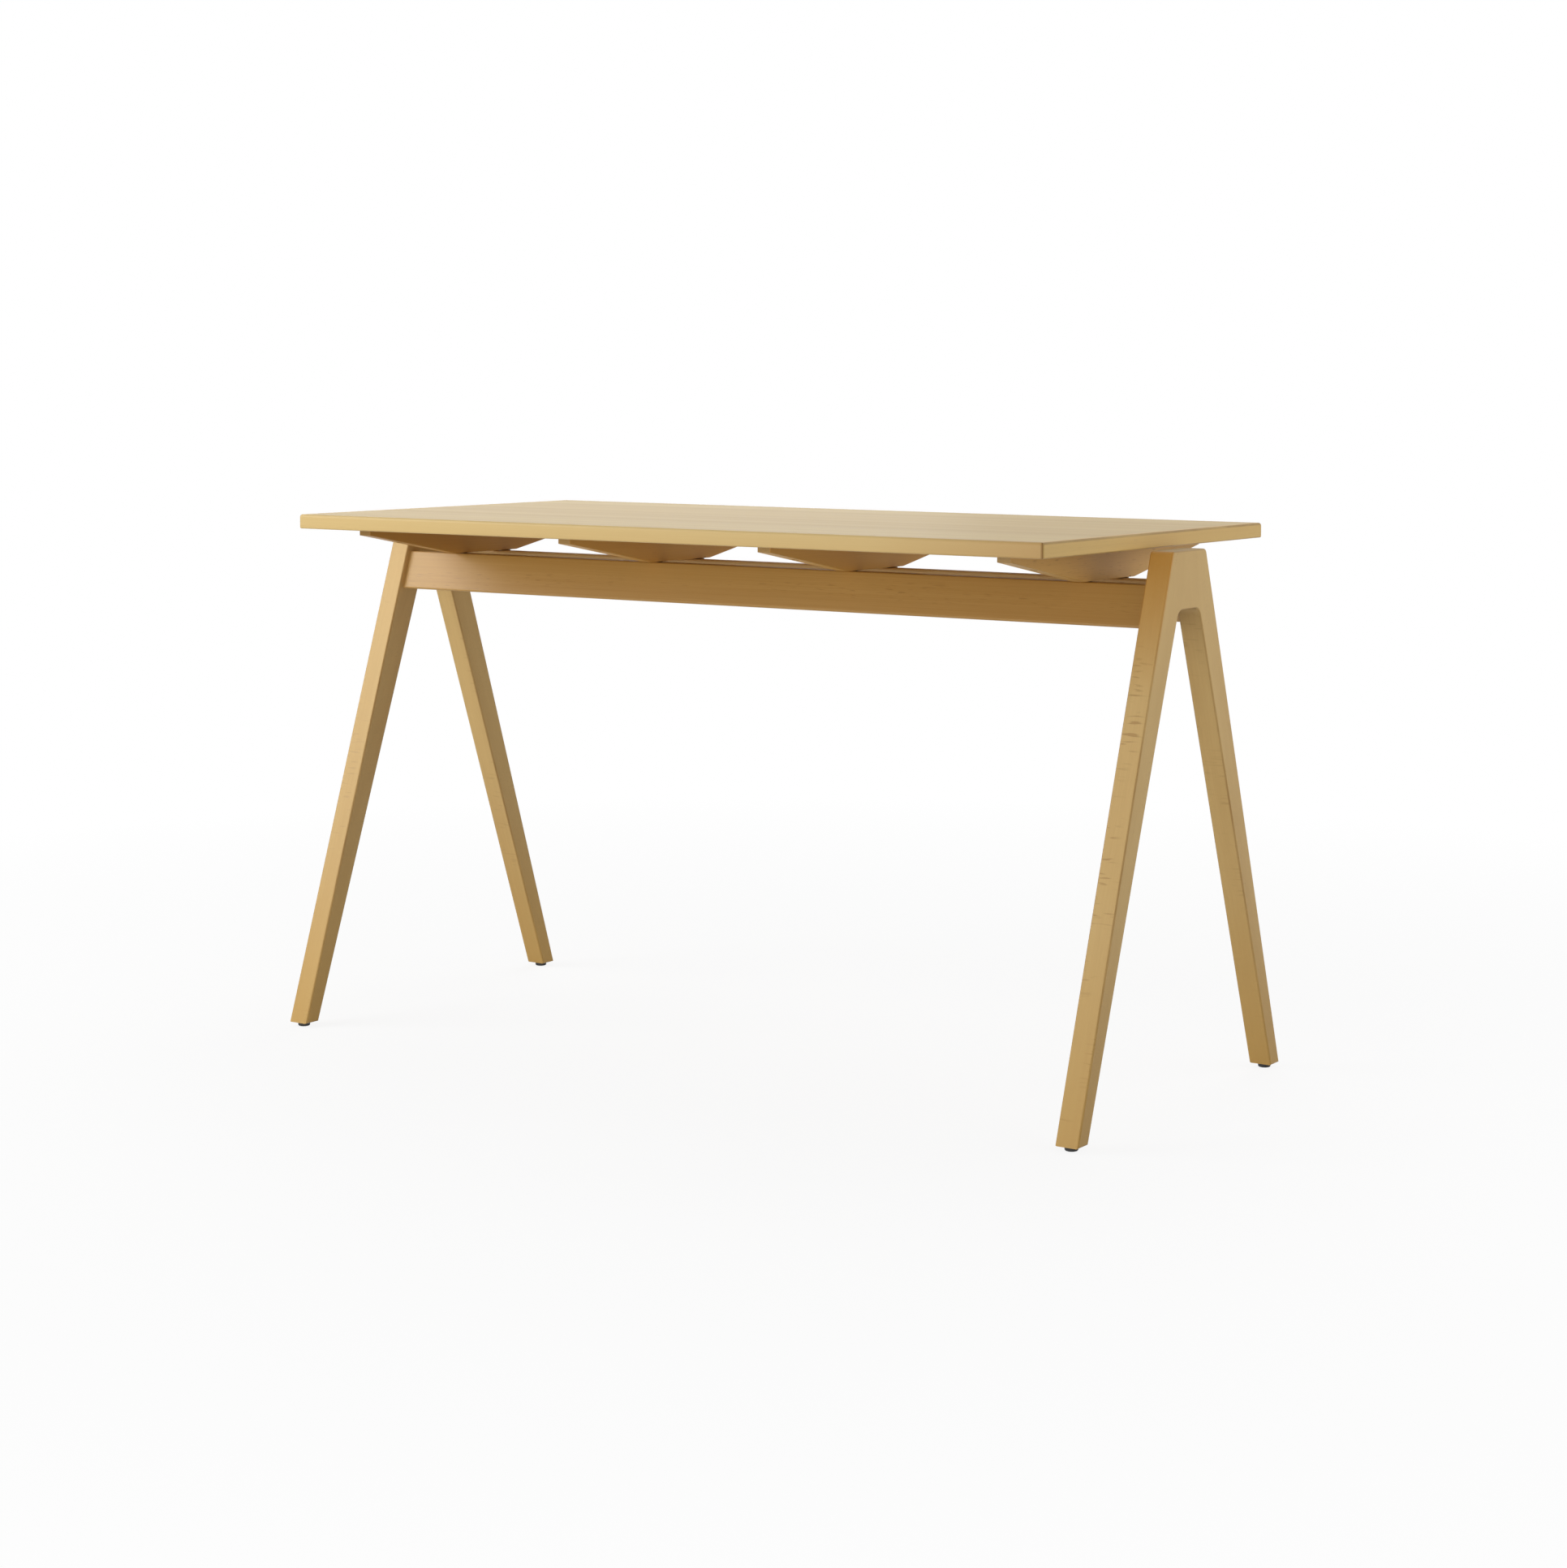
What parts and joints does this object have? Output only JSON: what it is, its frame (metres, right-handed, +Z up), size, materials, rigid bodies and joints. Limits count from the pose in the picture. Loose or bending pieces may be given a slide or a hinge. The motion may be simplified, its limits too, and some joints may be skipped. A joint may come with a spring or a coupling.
{
  "type": "tilt-top trestle table",
  "caption": "Beech trestle table: a rectangular top on tapered cross bearers hangs between A-frame ends joined by leaning rails, and tilts up at the front on hinges at the rear rail.",
  "frame": {"origin": "on the floor under the middle of the top", "axes": "+X along the table's length, +Y to the rear (hinge side), +Z up"},
  "size_m": [1.286, 0.6, 0.735],
  "materials": {
    "beech_leg": "clear matt lacquer",
    "beech_rail": "clear matt lacquer",
    "beech_bearer": "clear matt lacquer",
    "beech_lipping": "clear matt lacquer",
    "worktop": "clear satin lacquer",
    "backing": "clear matt lacquer",
    "core": "raw",
    "dowel": "raw",
    "glide": "black",
    "steel": "plated",
    "hinge": "dark bronze",
    "magnet": "dark coated"
  },
  "bodies": {
    "trestle": {"catch_magnet_1": "magnet", "catch_magnet_2": "magnet", "catch_magnet_3": "magnet", "catch_magnet_4": "magnet", "glide_front_left": "glide", "glide_front_right": "glide", "glide_nails": "steel", "glide_rear_left": "glide", "glide_rear_right": "glide", "head_dowels_left": "dowel", "head_dowels_right": "dowel", "hinge_fixed_leaf_1": "hinge", "hinge_fixed_leaf_2": "hinge", "hinge_fixed_leaf_3": "hinge", "hinge_fixed_leaf_4": "hinge", "hinge_fixed_screws": "hinge", "hinge_pin_1": "hinge", "hinge_pin_2": "hinge", "hinge_pin_3": "hinge", "hinge_pin_4": "hinge", "leg_front_left": "beech_leg", "leg_front_right": "beech_leg", "leg_rear_left": "beech_leg", "leg_rear_right": "beech_leg", "rail_dowels_left": "dowel", "rail_dowels_right": "dowel", "rail_front": "beech_rail", "rail_rear": "beech_rail"},
    "tabletop": {"bearer_1": "beech_bearer", "bearer_2": "beech_bearer", "bearer_3": "beech_bearer", "bearer_4": "beech_bearer", "bearer_screws": "steel", "catch_plate_1": "steel", "catch_plate_2": "steel", "catch_plate_3": "steel", "catch_plate_4": "steel", "catch_screws": "steel", "hinge_moving_leaf_1": "hinge", "hinge_moving_leaf_2": "hinge", "hinge_moving_leaf_3": "hinge", "hinge_moving_leaf_4": "hinge", "hinge_moving_screws": "hinge", "lipping_front": "beech_lipping", "lipping_left": "beech_lipping", "lipping_rear": "beech_lipping", "lipping_right": "beech_lipping", "top_backing": "backing", "top_core": "core", "top_surface": "worktop"}
  },
  "joints": [
    {"name": "top_tilt", "type": "hinge", "parent": "trestle", "child": "tabletop", "pos_m": [0, 0.05506, 0.6715], "axis": [-1, 0, 0], "range_deg": [0, 82]}
  ]
}
